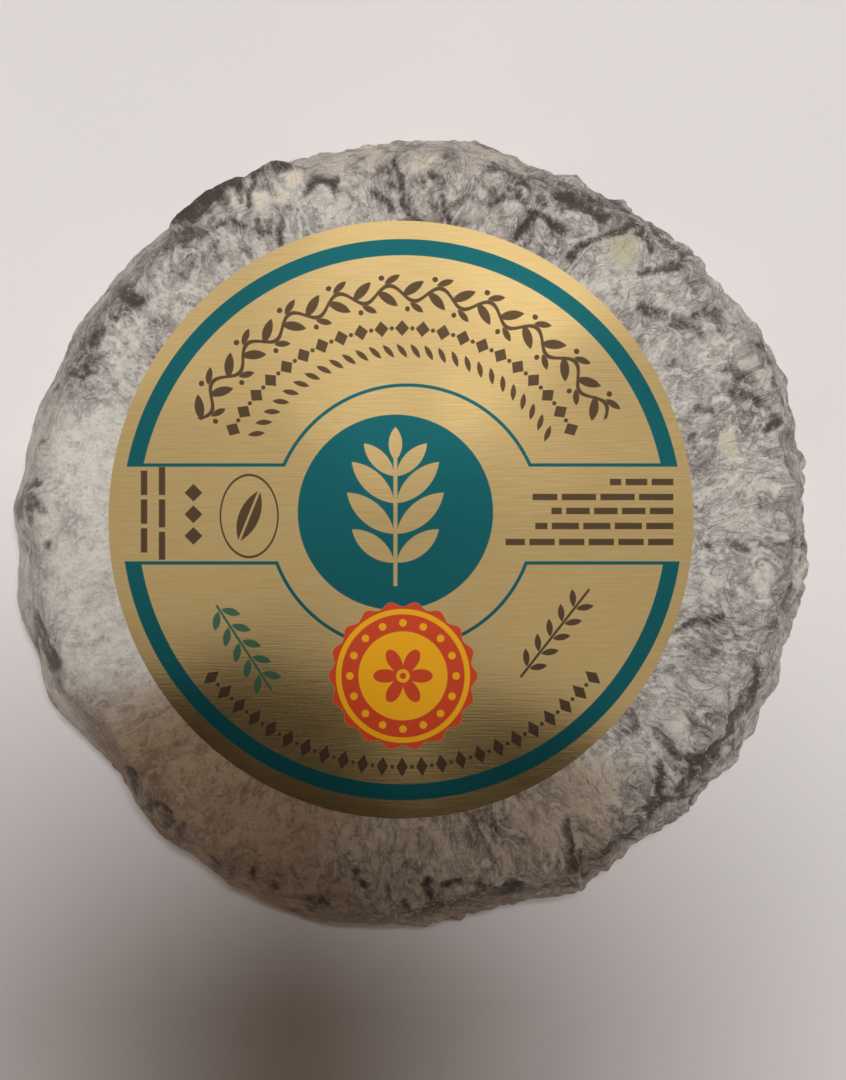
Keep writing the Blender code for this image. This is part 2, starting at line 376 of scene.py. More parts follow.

# Dark marks on the rind as seen from above, in millimetres from its middle: half width, how dark,
# and the line that each follows. The dark is partly ash and partly painted shade in the crease
# that each mark follows.
MARKS = (
    # The rolled strip of rind at the upper left
    (1.00, 0.88, ((-25.5, 35.5), (-23.5, 36.7), (-21.8, 37.7), (-20.2, 39.0), (-18.7, 40.2), (-17.3, 40.7),
                  (-15.5, 41.0), (-13.8, 41.0))),
    (0.40, 0.7, ((-25.1, 34.9), (-24.1, 35.1), (-21.3, 36.3), (-20.0, 37.5))),
    (0.36, 0.8, ((-18.4, 40.4), (-18.8, 37.1))),
    (0.36, 0.9, ((-17.2, 41.0), (-17.5, 38.2), (-17.8, 36.5))),
    (0.36, 0.6, ((-15.9, 40.0), (-14.9, 37.6))),
    (0.36, 0.5, ((-15.1, 40.1), (-13.9, 39.0))),
    # Between the strip and the label
    (0.33, 0.5, ((-27.0, 32.8), (-27.0, 31.2))),
    (0.85, 0.6, ((-25.2, 33.0), (-23.3, 33.6))),
    (0.44, 0.6, ((-22.4, 33.5), (-20.8, 34.4))),
    (0.36, 0.6, ((-21.4, 31.9), (-21.2, 30.5))),
    (0.36, 0.5, ((-19.8, 35.2), (-18.4, 34.0))),
    (0.36, 0.55, ((-18.4, 32.2), (-17.5, 30.8))),
    (0.36, 0.6, ((-16.5, 34.6), (-16.3, 33.5))),
    (0.36, 0.6, ((-15.4, 34.9), (-15.6, 33.5))),
    (0.36, 0.7, ((-14.2, 34.6), (-14.2, 32.3))),
    (0.36, 0.5, ((-13.3, 36.3), (-13.5, 35.4))),
    # Top
    (0.42, 0.8, ((-11.4, 38.0), (-11.0, 38.6), (-9.5, 39.5), (-8.2, 39.1), (-7.8, 38.2))),
    (0.36, 0.4, ((-10.4, 36.2), (-10.2, 35.5))),
    (0.36, 0.75, ((-1.2, 41.2), (-0.8, 39.5), (-0.5, 36.7), (0.0, 35.6))),
    (0.36, 0.7, ((-3.5, 38.0), (-1.7, 35.8))),
    (0.40, 0.6, ((-2.1, 38.6), (-0.8, 38.2))),
    (0.36, 0.5, ((-1.2, 34.8), (1.6, 34.4))),
    (0.36, 0.6, ((3.9, 37.4), (4.6, 35.2))),
    (0.36, 0.7, ((2.8, 40.1), (3.5, 38.5))),
    (0.36, 0.5, ((2.8, 36.1), (4.8, 36.3), (6.7, 37.2))),
    (0.36, 0.7, ((9.3, 36.6), (11.2, 37.1))),
    (0.36, 0.6, ((11.7, 38.2), (12.0, 37.1), (13.1, 36.6))),
    (0.36, 0.6, ((13.0, 39.2), (13.4, 38.5))),
    (0.42, 0.7, ((14.4, 40.5), (14.7, 40.0))),
    (0.36, 0.6, ((14.4, 37.2), (15.1, 36.5))),
    # Upper right
    (0.50, 1.0, ((12.0, 33.2), (13.1, 34.2), (13.9, 35.5), (15.5, 35.0), (16.8, 34.0))),
    (0.60, 0.9, ((17.0, 37.6), (18.9, 36.6), (20.7, 35.5), (21.8, 35.3))),
    (0.60, 0.85, ((22.7, 36.8), (23.7, 36.8), (24.7, 35.4))),
    (0.42, 0.9, ((18.1, 30.7), (19.7, 32.1), (21.6, 33.1), (23.5, 33.7), (25.2, 34.2))),
    (0.40, 0.7, ((26.0, 33.4), (26.9, 31.5))),
    (0.50, 0.9, ((29.2, 33.1), (30.4, 31.9), (30.3, 30.7))),
    (0.36, 0.8, ((25.8, 28.7), (28.0, 29.2), (30.1, 29.6))),
    (0.56, 0.7, ((26.2, 25.1), (28.9, 24.2), (31.8, 23.1))),
    (0.44, 0.7, ((31.8, 24.1), (32.7, 22.2))),
    (0.67, 0.4, ((33.5, 24.8), (34.9, 22.8))),
    (0.36, 0.7, ((32.7, 28.3), (34.3, 28.4), (34.9, 27.3))),
    (0.56, 1.0, ((39.3, 21.1), (40.6, 19.5))),
    (0.67, 0.6, ((35.8, 18.1), (38.1, 17.0))),
    (0.36, 0.5, ((29.3, 18.6), (29.7, 19.1))),
    # Right
    (0.56, 0.7, ((36.0, 15.7), (38.6, 15.0), (40.6, 13.4))),
    (0.44, 1.0, ((39.9, 11.5), (41.1, 12.5))),
    (0.44, 0.9, ((42.7, 10.6), (43.1, 9.6))),
    (0.36, 0.5, ((31.3, 13.7), (33.7, 14.0))),
    (0.36, 0.5, ((31.6, 11.0), (31.8, 9.5))),
    (0.44, 0.5, ((40.9, 17.1), (42.0, 14.6))),
    (0.36, 0.6, ((32.6, -1.3), (35.1, -1.0), (37.7, -1.7))),
    (0.36, 0.5, ((39.2, -1.3), (42.8, -0.9))),
    (0.36, 0.6, ((43.6, 1.5), (44.0, -2.9))),
    (0.44, 0.5, ((43.0, -6.3), (42.7, -9.8))),
    (0.36, 0.7, ((29.9, -10.5), (32.3, -9.8), (34.7, -9.2))),
    (0.36, 0.5, ((30.3, -12.6), (33.8, -13.6))),
    (0.36, 0.8, ((42.3, -10.8), (41.1, -13.5))),
    (0.44, 0.3, ((27.5, -15.3), (28.9, -14.9))),
    # Lower right: the edge of the strip that folds over the rim, and the folds beside it
    (0.40, 1.0, ((38.7, -14.5), (38.2, -17.8), (36.2, -20.7), (35.8, -22.2), (35.2, -23.2),
                 (32.3, -25.2), (31.3, -24.8))),
    (0.36, 0.9, ((31.3, -24.8), (31.7, -27.0))),
    (0.44, 0.9, ((28.2, -25.6), (28.0, -29.2))),
    (0.40, 1.0, ((30.1, -27.9), (30.7, -29.3), (28.5, -29.8), (26.6, -30.5), (27.0, -31.5))),
    (0.36, 0.7, ((25.8, -32.7), (23.3, -34.4), (21.3, -36.0))),
    (0.44, 0.5, ((24.3, -19.8), (25.3, -21.2))),
    (0.36, 0.6, ((27.2, -21.9), (29.1, -23.6), (30.7, -25.2))),
    (0.56, 0.45, ((31.3, -20.3), (33.3, -22.3))),
    (0.44, 0.8, ((17.6, -32.3), (18.3, -37.2))),
    (0.36, 0.8, ((19.3, -35.5), (19.3, -37.8))),
    (0.36, 0.5, ((22.5, -30.7), (22.9, -31.0))),
    # Bottom
    (0.44, 0.9, ((2.2, -38.3), (2.2, -39.8))),
    (0.40, 0.9, ((4.2, -38.9), (5.6, -38.5))),
    (0.36, 0.7, ((-2.2, -39.6), (-2.1, -40.3))),
    (0.39, 0.8, ((-0.4, -40.7), (0.0, -41.3))),
    (0.36, 0.6, ((-5.9, -37.4), (-5.8, -38.3))),
    (0.36, 0.7, ((-5.2, -38.9), (-4.7, -39.7))),
    (0.36, 0.6, ((-9.5, -40.4), (-9.2, -40.9))),
    (0.36, 0.6, ((-10.9, -40.6), (-10.4, -41.3))),
    (0.36, 0.5, ((-12.8, -37.6), (-12.4, -38.2))),
    (0.36, 0.8, ((-17.3, -37.5), (-17.1, -37.7))),
    (0.36, 0.6, ((-19.7, -37.5), (-19.7, -37.8))),
    (0.44, 0.7, ((-21.8, -36.3), (-21.3, -37.2))),
    (0.36, 0.5, ((-25.2, -32.3), (-25.1, -34.5))),
    (0.36, 0.7, ((-29.0, -30.9), (-28.8, -30.2), (-27.8, -29.9), (-26.4, -30.9), (-26.3, -32.2),
                 (-27.2, -32.5))),
    (0.39, 0.9, ((-31.0, -26.0), (-30.4, -27.9))),
    (0.36, 0.3, ((-6.0, -32.0), (-5.3, -34.5))),
    (0.36, 0.4, ((-0.5, -34.7), (-0.4, -36.6))),
    (0.36, 0.5, ((-14.8, -38.9), (-14.5, -39.2))),
    (0.44, 0.6, ((8.0, -39.0), (10.2, -39.6), (12.5, -39.2))),
    # Left
    (0.36, 0.9, ((-43.4, 5.2), (-41.2, 5.7))),
    (0.50, 0.8, ((-42.1, 4.3), (-41.3, 3.4))),
    (0.36, 0.8, ((-42.1, 3.1), (-42.0, 1.1))),
    (0.90, 0.7, ((-43.6, 4.4), (-43.8, 2.0))),
    (0.36, 0.8, ((-41.0, 10.3), (-40.9, 10.1))),
    (0.36, 0.4, ((-40.8, 2.7), (-40.5, 2.6))),
    (0.36, 0.8, ((-40.2, -1.3), (-39.9, -0.8))),
    (0.36, 0.6, ((-43.4, -0.3), (-43.0, -1.2))),
    (0.36, 0.6, ((-42.2, -2.2), (-42.4, -3.9))),
    (0.60, 0.9, ((-42.0, -8.8), (-41.0, -11.2), (-40.2, -12.9), (-39.2, -14.7))),
    (0.39, 0.6, ((-39.0, -16.3), (-38.7, -17.4))),
    (0.36, 0.6, ((-42.9, -7.4), (-42.7, -8.7))),
    (0.36, 0.22, ((-36.8, -12.2), (-33.0, -11.7))),
    # Upper left
    (0.78, 0.6, ((-32.7, 27.1), (-29.9, 26.0))),
    (0.36, 0.8, ((-32.8, 24.3), (-32.4, 24.0))),
    (0.36, 0.6, ((-37.5, 17.7), (-37.3, 17.4))),
    (0.36, 0.6, ((-35.5, 18.2), (-35.3, 18.1))),
    (0.36, 0.7, ((-40.1, 16.1), (-39.9, 16.0))),
    (0.36, 0.7, ((-40.4, 14.3), (-40.2, 14.2))),
    (0.56, 0.5, ((-34.2, 22.6), (-34.7, 21.0))),
)
MARK_GROOVE = 0.00022

# The streaks on the rind run down its side, longer than wide, and wander.
STREAK_LENGTH = 1.5
BEND = 0.0018
BEND_SIZE = 0.006

# Pale patches where the paste shows through, in millimetres: place, radius, strength, greenness.
PATCHES = (
    ((-24.0, 34.7), 1.1, 0.8, 0.0),
    ((-21.8, 35.8), 1.2, 1.0, 0.0),
    ((-19.3, 36.3), 1.3, 1.0, 0.0),
    ((-16.5, 36.3), 1.5, 1.0, 0.0),
    ((-14.2, 36.9), 1.4, 1.0, 0.0),
    ((-13.0, 39.4), 1.3, 1.0, 0.0),
    # Along the top edge: partly bare paste, partly painted light on the side towards the lamp.
    ((-9.0, 41.8), 2.4, 0.8, 0.0),
    ((-3.5, 42.4), 2.4, 0.8, 0.0),
    ((2.0, 42.6), 2.4, 0.8, 0.0),
    ((7.5, 42.3), 2.4, 0.7, 0.0),
    ((12.5, 41.6), 2.0, 0.6, 0.0),
    ((23.3, 31.8), 2.2, 1.0, 0.8),
    ((35.2, 10.4), 1.6, 0.7, 0.7),
    ((20.5, -28.3), 4.0, 0.6, 0.1),
    ((15.0, -31.5), 3.0, 0.4, 0.1),
    ((-17.0, -33.0), 3.5, 0.25, 0.0),
)


# Edges of marks and patches are shifted about by noise: how far, and its size.
RAGGED = ((0.0005, 0.0016, (3, 1, 4)), (0.0003, 0.0007, (5, 9, 2)))
LOOSE = (0.0016, 0.0045, (8, 8, 1))

# Down the side they wander more, and break up: between these drops below the face, how far and at
# what size they wander, then how much is broken away and the size of the breaks.
SIDE_DROP = (0.002, 0.009)
SIDE_WANDER = (0.0032, 0.006, (4, 4, 9))
SIDE_BREAKS = (0.60, 0.0038, (9, 3, 3))
BREAK_EDGE = (-0.15, 0.25)

# Ash lies in blotches of two sizes and in a belt round the rim, this far along from the middle.
BLOTCH_SIZES = (0.0052, 0.0021)
ASH_BELT = 0.0440
ASH_BELT_HALF = 0.0036


def laid_flat(points):
    """The rind as if its side were rolled out: places on it, and how far each is along from the top."""
    radius = np.hypot(points[:, 0], points[:, 1])
    outward = points * (1, 1, 0) / np.maximum(radius, MM)[:, None]
    drop = np.maximum(0, FACE_HEIGHT - points[:, 2])
    along = np.minimum(radius, RIM_RADIUS + RIM_ROUND) + drop
    return outward * WRAP_RADIUS + np.outer(along, (0, 0, 1)), along


def free_share(points):
    """1 where the rind is free to wrinkle, 0 under the label and on the table."""
    low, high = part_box("label")
    middle, half = (low + high) / 2, (high - low) / 2
    share = np.hypot((points[:, 0] - middle.x) / half.x, (points[:, 1] - middle.y) / half.y)
    past_label = smooth(0.0001, 0.0016, (share - 1) * half.x)
    above_table = smooth(0.0003, 0.004, points[:, 2])
    return np.where(points[:, 2] > FACE_HEIGHT / 2, past_label, above_table)


def wrinkles_at(wrap):
    """How high the wrinkles stand, and how deep in a crease each place is."""
    height = np.zeros(len(wrap))
    crease = np.zeros(len(wrap))
    for width, rise, longer, warp, place in WRINKLES:
        spots = wrap + warp * drift_at(wrap, 2.2 * width, place)
        spots *= (1, 1, 1 / longer)
        billow = WRINKLE_GAIN * np.abs(noise_at(spots, width, place))
        height += rise * (billow - WRINKLE_LEVEL)
        crease = np.maximum(crease, (rise / WRINKLES[0][1]) ** 0.5 * (1 - smooth(0.0, 0.30, billow)))
    return height, crease


def seen_from_above(points, eye):
    """Flat places where an eye above sees the points, against the level of the label."""
    flat_eye = np.array(eye[:2])
    return flat_eye + (points[:, :2] - flat_eye) * (CAMERA_RISE / (eye[2] - points[:, 2]))[:, None]


def marks_at(points, seen):
    """How strong a dark mark is: part ash, part painted crease shade. A mark is read where it shows from
    above, so it runs on down the side.
    """
    spots = seen / MM
    for reach, size, place in RAGGED:
        spots = spots + reach / MM * drift_at(points, size, place)[:, :2]
    marks = np.zeros(len(points))
    for half_width, strength, line in MARKS:
        away = stroke_distance(spots, line)
        marks = np.maximum(marks, strength * (1 - smooth(0.35, 1.6, away / half_width)))
    return marks


def patches_at(points, seen):
    """How pale each place is, from paste showing and from painted light along the top edge, and how green it
    is.
    """
    reach, size, place = LOOSE
    spots = (seen + reach * drift_at(points, size, place)[:, :2]) / MM
    cream = np.zeros(len(points))
    green = np.zeros(len(points))
    for place, radius, strength, greenness in PATCHES:
        near = strength * (1 - smooth(0.5, 1.2, np.linalg.norm(spots - place, axis=1) / radius))
        cream = np.maximum(cream, near)
        green = np.maximum(green, near * greenness)
    return cream, green


def ash_and_crease_shade_at(points, along, crease):
    """How dark the ashen rind is: ash blotches, the belt round the rim, and ash with painted shade in
    creases.
    """
    large, small = (noise_at(points, size, (1, 7, 3)) for size in BLOTCH_SIZES)
    mottle = smooth(-0.25, 0.55, 0.7 * large + 0.5 * small)
    belt = np.exp(-(((along - ASH_BELT) / ASH_BELT_HALF) ** 2))
    return 0.12 + 0.50 * mottle + 0.45 * belt + 0.45 * crease


def make_rind(node, eye):
    """The cheese with every wrinkle, and where its ash, buff and cream-coloured patches are. Painted
    shade lies in the creases and on the lower left and bottom, painted light along the top edge.
    """
    piece = refined(node, "rind", RIND_LEVELS)
    mesh = piece.data
    points, normals = read(mesh, "co"), read(mesh, "normal")
    degrees = np.degrees(np.arctan2(points[:, 1], points[:, 0]))
    degrees += WANDER * noise_at(points, WANDER_SIZE)
    wrinkled, ashen, buff_and_shade = (by_direction(degrees, column) for column in (3, 4, 5))
    wrap, along = laid_flat(points)
    height, crease = wrinkles_at(wrap)
    side = smooth(*SIDE_DROP, FACE_HEIGHT - points[:, 2])
    reach, size, place = SIDE_WANDER
    seen = seen_from_above(points, eye) + reach * side[:, None] * drift_at(points, size, place)[:, :2]
    share, size, place = SIDE_BREAKS
    whole = 1 - share * side * smooth(*BREAK_EDGE, noise_at(points, size, place))
    marks = marks_at(points, seen) * whole
    cream, green = (strength * whole for strength in patches_at(points, seen))

    radius = np.hypot(points[:, 0], points[:, 1])
    raised = np.where(points[:, 2] > FACE_HEIGHT / 2, 1 - smooth(*RAISE_FADE, radius), 0)
    relief = (wrinkled * height - MARK_GROOVE * marks) * free_share(points)
    points += normals * relief[:, None]
    points[:, 2] = np.maximum(points[:, 2] + LABEL_GAP * FACE_RAISE * raised, 0)
    write(mesh, points)

    # Ash, with painted shade in the creases.
    ash_and_crease_shade = ashen * ash_and_crease_shade_at(points, along, crease) * (1 - 0.75 * cream)
    note(mesh, "ash_and_crease_shade", np.clip(ash_and_crease_shade, 0, 1.3))
    note(mesh, "mark", marks)
    note(mesh, "rough", wrinkled)
    # Buff stain, partly painted shade on the lower left and bottom of the rind.
    note(mesh, "buff_and_shade", buff_and_shade)
    note(mesh, "cream", cream)
    note(mesh, "green", green)
    note_places(mesh, "wrap", (wrap + BEND * drift_at(wrap, BEND_SIZE, (2, 6, 6))) / MM)
    mesh.shade_smooth()
    return piece


# The rind's colours from its pale bloom to bare ash, and the shares between which each sets in; the
# darker ones also paint shade in creases and folds. The buff stain over all of them also paints
# shade on the lower left and bottom.
BLOOM = srgb(212, 205, 196)
TONES = (
    (0.00, 0.35, srgb(178, 171, 163)),
    (0.30, 0.75, srgb(128, 120, 113)),
    (0.70, 1.20, srgb(76, 69, 64)),
)
BUFF_AND_SHADE = srgb(192, 167, 143)
CREAM = srgb(224, 210, 192)
GREEN = srgb(188, 182, 148)


def rind_paint():
    """Grey-white bloom over ash, with wavy folds and painted shade along them, down, specks, dark marks
    and bare patches.
    """
    paint = Paint("rind")
    flow = paint.scaled(paint.noted_place("wrap"), (1, 1, 1 / STREAK_LENGTH))
    broad = paint.noise(flow, 0.50, 3.5, 0.58, 1.3)
    narrow = paint.noise(flow, 1.4, 2.0, 0.55, 0.8)
    fluff = paint.noise(paint.place, 0.75, 4.0, 0.65)
    down = paint.noise(paint.place, 3.0, 3.0, 0.6)
    specks = paint.noise(paint.place, 1.9, 2.0, 0.5).ramp(0.64, 0.76)
    uneven = (broad - 0.5) * 2.0 + (narrow - 0.5) * 1.0
    # Thin lines along the folds: shallow grooves in the relief, and painted shade in the colour.
    fold_grooves_and_shade = (broad - 0.5).size().ramp(0.065, 0.0) + (narrow - 0.5).size().ramp(0.060, 0.0) * 0.35
    rough, ash_and_crease_shade, mark, cream = (paint.attribute(name) for name in ("rough", "ash_and_crease_shade", "mark", "cream"))

    # How dark each place is: ash with painted crease shade, darker along the fold lines where shade is
    # painted.
    tone = ash_and_crease_shade * (uneven * 0.62 + fold_grooves_and_shade * 0.36 + 0.62)
    tone = tone + rough * (uneven * 0.20 + fold_grooves_and_shade * 0.12)
    tone = tone * (cream * -0.8 + 1)
    # The dark marks: part ash, part painted crease shade.
    tone = tone + mark * (uneven * 0.4 + (down - 0.5) * 0.8 + 0.86)
    tone = tone + (fluff - 0.5) * 0.60 + (down - 0.5) * 0.45 + specks * 0.30
    # Pale paste, and painted light along the top edge.
    colour = paint.mix(cream, BLOOM, CREAM)
    colour = paint.mix(paint.attribute("green"), colour, GREEN)
    for low, high, shade in TONES:
        colour = paint.mix(tone.ramp(low, high), colour, shade)
    # The buff stain over everything, with painted shade on the lower left and bottom.
    paint.set("Base Color", paint.mix(paint.attribute("buff_and_shade"), colour, BUFF_AND_SHADE, "MULTIPLY"))
    paint.set("Roughness", (down - 0.5) * 0.1 + 0.9)
    paint.set("Sheen Weight", 0.12)
    paint.set("Sheen Roughness", 0.6)
    paint.set("Specular IOR Level", 0.2)
    relief = rough * (broad * 0.65 + narrow * 0.16 - fold_grooves_and_shade * 0.06)
    relief = relief + fluff * 0.11 + down * 0.07 - specks * 0.05 - mark * 0.12
    paint.set("Normal", paint.bump(relief, MM))
    return paint.material


# The label

LABEL_WAVE = 0.00002
LABEL_WAVE_SIZE = 0.011


def make_label(node):
    """The paper disc, with the slight waves of paper stuck to a soft face."""
    piece = refined(node, "gold_label", LABEL_LEVELS)
    mesh = piece.data
    points = read(mesh, "co")
    flat = points * (1, 1, 0)
    points[:, 2] += LABEL_WAVE * noise_at(flat, LABEL_WAVE_SIZE, (4, 4, 0))
    low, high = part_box("label")
    middle = (low + high) / 2
    points -= np.array((middle.x, middle.y, middle.z))
    write(mesh, points)
    piece.location = middle
    mesh.shade_smooth()
    mesh.set_sharp_from_angle(angle=SHARP)
    return piece


# The print, in millimetres from the middle of the ring. Directions are in degrees.
RING_SHIFT = (0.14, -0.01)
RING = (29.4, 31.2)
SOFT = 0.07

# The band across the ring: its edges, half the width of its lines, and the arcs that join them.
BAND_TOP = 6.08
BAND_BOTTOM = -4.81
LINE_HALF = 0.19
TOP_ARC = ((0.54, 0.01), 14.96)
BOTTOM_ARC = ((-0.07, 0.41), 14.80)

# The disc holds a sprig: stem, bud, and leaves by foot, half length, half width and tilt.
DISC = ((-0.74, 0.83), 10.86)
STEM = (0.22, 8.2)
BUD = (7.6, 1.9, 0.75)
SPRIG = ((-5.6, 3.0, 1.1, 38), (-2.4, 3.5, 1.25, 41), (1.0, 3.3, 1.15, 44), (4.0, 2.5, 0.9, 47))

# The vine under the ring: radius, period, swing and reach each way, then its leaves by place,
# tilt, half length and half width, and its berry.
VINE = (25.2, 5.6, 0.85, 28.0)
VINE_LEAVES = (((0.25, -0.55), 38, 1.45, 0.52), ((-0.35, 1.55), 150, 0.95, 0.36))
VINE_BERRY = ((0.75, 1.75), 0.30)

# Rows round a circle: radius, middle, reach each way, period, half size, and radius of the dots.
TOP_LOZENGES = (21.3, 90, 23.86, 2.3, (0.80, 0.89), 0.24)
BOTTOM_LOZENGES = (27.5, -90, 25.0, 2.2, (0.65, 1.1), 0.22)

# A row of slanting leaves inside them: radius, reach, period, tilt, half length, half width.
LEAF_ROW = (18.8, 20.25, 1.5, 52, 0.95, 0.30)

# Rows of plain bars that end at one side: length, level, spacing of the gaps.
ROWS_END = 30.4
ROWS = ((7.3, 4.19, 2.9), (15.9, 2.52, 4.3), (13.8, 0.97, 3.1), (15.6, -0.70, 3.5), (18.9, -2.48, 3.3))
ROW_HALF = 0.36
GAP_HALF = 0.24

# Upright rows: place, middle, half length, spacing of the gaps. Three studs stand beside them.
UPRIGHTS = ((-28.7, 0.9, 4.8, 3.2), (-26.7, 0.7, 5.4, 3.6))
STUDS = ((-23.2, 0.6), 2.4, 3.6)

# An oval with a split leaf in it.
OVAL = ((-17.0, 0.41), (3.2, 4.56))
OVAL_LEAF = (68, 3.1, 1.15, 0.13)

# Sprigs on the slopes: middle, direction, reach of the stem and of the leaves, leaf.
BROWN_SPRIG = ((17.0, -12.6), 52, 6.2, 5.3, ((0.1, 0.85), 1.0, 0.36))
GREEN_SPRIG = ((-17.6, -14.2), -57, 5.6, 5.2, ((0.1, 0.95), 1.1, 0.42))
SPRIG_PERIOD = 2.1
SPRIG_TILT = 42
SPRIG_STEM = 0.14

# The badge: middle, radius, scallops and their depth, then its rings and dots.
BADGE = ((0.1, -17.37), 8.0, 18, 0.28)
BADGE_RIM = 7.45
DOT_RING = (5.9, 0.95)
DOTS = (16, 0.42)


def circle(x, y, centre, radius):
    """Signed distance from a filled circle."""
    return (x - centre[0]).over(y - centre[1]) - radius


def span(value, ends):
    """Signed distance from the stretch between two values."""
    return (value - sum(ends) / 2).size() - (ends[1] - ends[0]) / 2


def bar(x, y, centre, half):
    """Signed distance from an upright rectangle."""
    return ((x - centre[0]).size() - half[0]).most((y - centre[1]).size() - half[1])


def turned(x, y, centre, degrees):
    """(along, across) in a frame turned about centre."""
    turn_x, turn_y = math.cos(math.radians(degrees)), math.sin(math.radians(degrees))
    dx, dy = x - centre[0], y - centre[1]
    return dx * turn_x + dy * turn_y, dy * turn_x - dx * turn_y


def round_circle(x, y, radius, degrees):
    """(along, across) on a circle round the middle, along being measured from a direction."""
    turn = y.math("ARCTAN2", x) - math.radians(degrees)
    return turn * radius, x.over(y) - radius


def leaf(along, across, length, width):
    """Signed distance from a pointed leaf: where two circles overlap."""
    bulge = (length * length - width * width) / (2 * width)
    return along.over(across.size() + bulge) - (bulge + width)


def ring_and_band(x, y):
    """The ring, broken by a band whose edges arch over and under the disc."""
    above, below = y * -1 + BAND_TOP, y - BAND_BOTTOM
    made = span(x.over(y), RING).most(above.least(below))
    for edge, arc in ((above, TOP_ARC), (below, BOTTOM_ARC)):
        arch = circle(x, y, *arc)
        line = (edge.size() - LINE_HALF).most(arch * -1 - LINE_HALF)
        made = made.least(line.most(x.over(y) - RING[1]))
        made = made.least((arch.size() - LINE_HALF).most(edge))
    return made


def disc_with_sprig(x, y):
    """A disc with a sprig left bare: a stem with paired leaves and a bud."""
    centre, radius = DISC
    side, rise = (x - centre[0]).size(), y - centre[1]
    sprig = (side - STEM[0]).most(rise.size() - STEM[1])
    for foot, length, width, tilt in SPRIG:
        lean, climb = math.cos(math.radians(tilt)), math.sin(math.radians(tilt))
        middle = (length * lean + 0.1, foot + length * climb)
        sprig = sprig.least(leaf(*turned(side, rise, middle, tilt), length, width))
    level, length, width = BUD
    sprig = sprig.least(leaf(*turned(side, rise, (0, level), 90), length, width))
    return circle(x, y, centre, radius).most(sprig * -1)


def vine(x, y):
    """A winding stem with two leaves and a berry at each bend."""
    radius, period, swing, reach = VINE
    along, across = round_circle(x, y, radius, 90)
    wave = (along * (2 * math.pi / period)).math("SINE")
    made = (across - wave * swing).size() * 0.72 - 0.17
    u, v = (along - period / 4).wrap(period / 2), across * wave.math("SIGN")
    for place, tilt, length, width in VINE_LEAVES:
        made = made.least(leaf(*turned(u, v, place, tilt), length, width))
    made = made.least(circle(u, v, *VINE_BERRY))
    return made.most(along.size() - reach)


def lozenge_row(x, y, row):
    """Lozenges round a circle with a dot between each two."""
    radius, degrees, reach, period, half, dot = row
    along, across = round_circle(x, y, radius, degrees)
    u = along.wrap(period)
    made = (u.size() / half[0] + across.size() / half[1] - 1) * min(half)
    made = made.least((u.size() - period / 2).over(across) - dot)
    return made.most(along.size() - reach)


def leaf_row(x, y):
    """Slanting leaves round a circle."""
    radius, reach, period, tilt, length, width = LEAF_ROW
    along, across = round_circle(x, y, radius, 90)
    made = leaf(*turned(along.wrap(period), across, (0, 0), tilt), length, width)
    return made.most(along.size() - reach)


def bars_and_studs(x, y):
    """Plain bars and lozenges where small print would be."""
    made = None
    for length, level, gap in ROWS:
        line = bar(x, y, (ROWS_END - length / 2, level), (length / 2, ROW_HALF))
        line = line.most((x - ROWS_END).wrap(gap).size() * -1 + GAP_HALF)
        made = line if made is None else made.least(line)
    for place, middle, half, gap in UPRIGHTS:
        line = bar(x, y, (place, middle), (ROW_HALF, half))
        made = made.least(line.most((y - middle - half).wrap(gap).size() * -1 + GAP_HALF))
    (place, middle), period, reach = STUDS
    studs = (y - middle).wrap(period).size() + (x - place).size() - 1.0
    return made.least(studs.most((y - middle).size() - reach))


def oval_with_leaf(x, y):
    """A thin oval round a leaf that a gap splits lengthwise."""
    centre, half = OVAL
    degrees, length, width, split = OVAL_LEAF
    rim = ((x - centre[0]) / half[0]).over((y - centre[1]) / half[1]) - 1
    rim = rim.size() * 3.6 - 0.11
    along, across = turned(x, y, centre, degrees)
    return rim.least(leaf(along, across, length, width).most(across.size() * -1 + split))


def slope_sprig(x, y, sprig):
    """A straight stem with pairs of leaves."""
    centre, degrees, stem_reach, leaf_reach, (place, length, width) = sprig
    along, across = turned(x, y, centre, degrees)
    stem = (across.size() - SPRIG_STEM).most(along.size() - stem_reach)
    pair = turned(along.wrap(SPRIG_PERIOD), across.size(), place, SPRIG_TILT)
    return stem.least(leaf(*pair, length, width).most(along.size() - leaf_reach))


def badge_and_flower(x, y):
    """A scalloped badge, and what is red on it: the rim, a ring with dots left out, and a flower."""
    centre, radius, scallops, depth = BADGE
    middle, half = DOT_RING
    count, dot = DOTS
    dx, dy = x - centre[0], y - centre[1]
    r, turn = dx.over(dy), dy.math("ARCTAN2", dx)
    badge = r - (turn * scallops).math("COSINE") * depth - radius
    red = badge.most(r * -1 + BADGE_RIM)
    dots = (turn * middle).wrap(2 * math.pi * middle / count).over(r - middle) - dot
    red = red.least(((r - middle).size() - half).most(dots * -1))
    petals = (turn * 3).math("COSINE").size() * 2.2 + 1.1
    red = red.least((r - petals).most(r * -1 + 0.75)).least(r - 0.35)
    return badge, red


# The foil's golds and the inks, before the light on them.
PALE_GOLD = srgb(229, 202, 145)
GOLD = srgb(221, 191, 130)
DEEP_GOLD = srgb(214, 182, 121)
TEAL = srgb(30, 112, 118)
GREEN_INK = srgb(50, 122, 98)
BROWN = srgb(84, 62, 48)
YELLOW = srgb(255, 181, 14)
RED = srgb(214, 70, 30)
GRAIN = (0.25, 6.0, 1.0)


